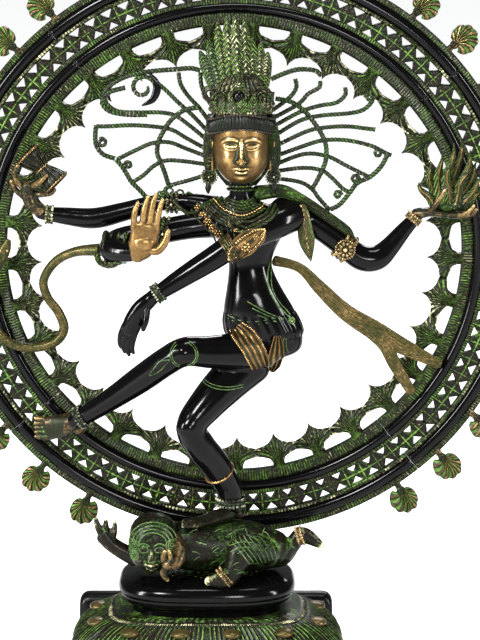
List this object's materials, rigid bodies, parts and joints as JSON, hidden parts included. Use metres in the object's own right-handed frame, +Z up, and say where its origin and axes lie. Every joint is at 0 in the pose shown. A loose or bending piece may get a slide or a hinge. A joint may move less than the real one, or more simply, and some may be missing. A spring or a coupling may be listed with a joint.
{
  "type": "statue",
  "caption": "Cast brass dancing deity on one leg inside a ring of flames, standing on a dwarf, a cushion plinth and a lotus pedestal",
  "frame": {"origin": "bottom centre of the whole statue's bounding box, on the surface it stands on", "axes": "+Z up; -Y is the front the figure faces; +X to the viewer's right when looking at the front"},
  "size_m": [0.6104, 0.175, 0.738],
  "materials": {
    "patina": "polished near-black patina",
    "verdigris": "green patina, rubbed to black and gold on raised edges",
    "gilt": "aged gold-brown satin brass",
    "olive": "brushed olive-brown brass",
    "steel": "plain steel fixings",
    "felt": "dark felt-covered closing plate"
  },
  "bodies": {
    "root": {"base_plate": "felt", "belt": "verdigris", "blessing_arm": "patina", "blessing_hand": "gilt", "calf_band": "gilt", "crossing_arm": "patina", "crossing_armlet": "gilt", "crossing_bracelet": "verdigris", "crossing_hand": "patina", "crown": "verdigris", "cushion_plinth": "patina", "drum_arm": "patina", "drum_bracelet": "verdigris", "drum_hand": "patina", "dwarf_back_leg": "verdigris", "dwarf_body": "verdigris", "dwarf_front_arm": "verdigris", "dwarf_head": "verdigris", "dwarf_knee_leg": "verdigris", "dwarf_raised_arm": "verdigris", "ear_ornament_left": "verdigris", "ear_ornament_right": "verdigris", "feather_crest": "verdigris", "fire_arm": "patina", "fire_armlet": "gilt", "fire_bracelet": "verdigris", "fire_hand": "gilt", "hair_fan_left": "verdigris", "hair_fan_right": "verdigris", "hand_drum": "gilt", "hand_flame": "verdigris", "head": "gilt", "head_band": "patina", "hip_sash": "gilt", "lotus_pedestal": "verdigris", "necklace": "verdigris", "raised_anklet": "verdigris", "raised_foot": "verdigris", "raised_leg": "patina", "rear_block": "patina", "ring_bolt_left": "steel", "ring_bolt_right": "steel", "ring_bottom": "patina", "ring_bracket": "patina", "ring_left": "patina", "ring_right": "patina", "ring_top": "patina", "sash_streamer": "olive", "scarf_tassel": "gilt", "serpent": "olive", "shoulder_scarf": "verdigris", "standing_anklet": "verdigris", "standing_foot": "gilt", "standing_leg": "patina", "tie_nut": "steel", "tie_rod": "steel", "torso": "patina"}
  },
  "joints": []
}
